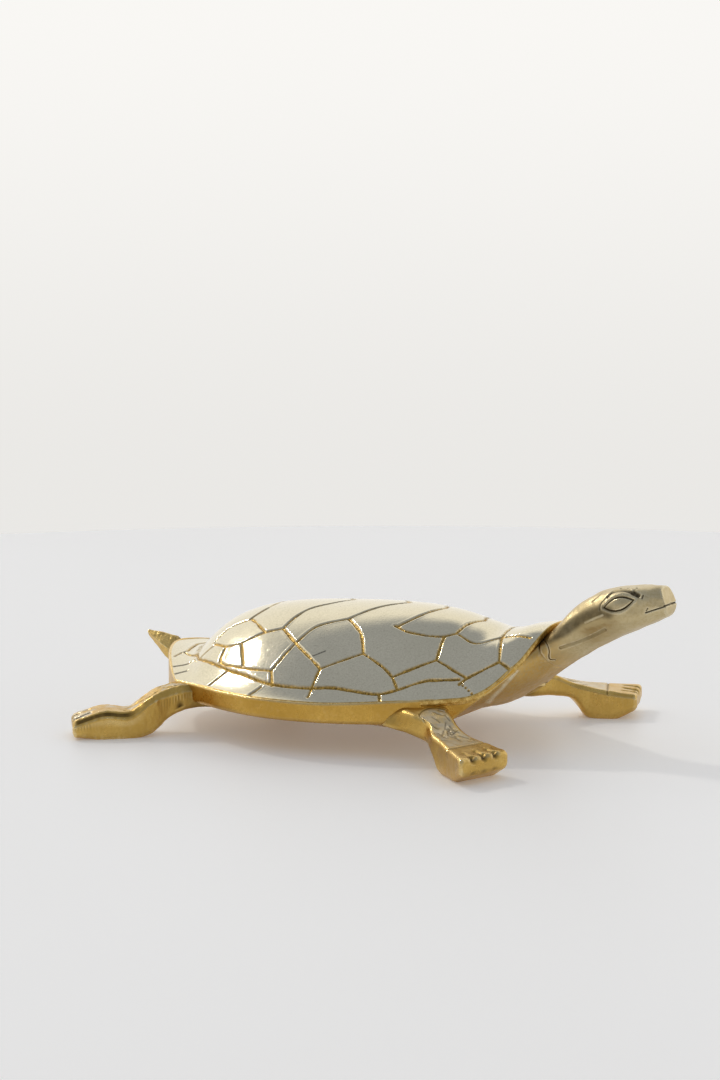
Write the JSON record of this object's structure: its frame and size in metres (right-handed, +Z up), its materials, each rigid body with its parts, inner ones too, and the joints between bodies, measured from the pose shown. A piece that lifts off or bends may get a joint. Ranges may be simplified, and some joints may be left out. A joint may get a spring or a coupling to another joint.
{
  "type": "turtle figurine",
  "caption": "Cast brass turtle figurine, low domed shell engraved with scutes, raised hood, lifted head and splayed feet, standing on flat soles as a table ornament.",
  "frame": {"origin": "on the floor under the middle of the figure's bounding box", "axes": "+X towards the nose, +Y to the turtle's left, +Z up"},
  "size_m": [0.1823, 0.1376, 0.0513],
  "materials": {
    "gold_brass": "rough cast and filed, bright worn edges",
    "pale_brass": "polished pale, engraved grooves left golden",
    "antique_brass": "polished with dark patina in the engraving",
    "screw_brass": "turned"
  },
  "bodies": {
    "root": {"body": "gold_brass", "carapace": "pale_brass", "front_left_leg": "gold_brass", "front_right_leg": "gold_brass", "rear_left_leg": "gold_brass", "rear_right_leg": "gold_brass", "tail": "gold_brass", "head_and_neck": "antique_brass", "limb_screws": "screw_brass", "carapace_screws": "screw_brass"}
  },
  "joints": []
}
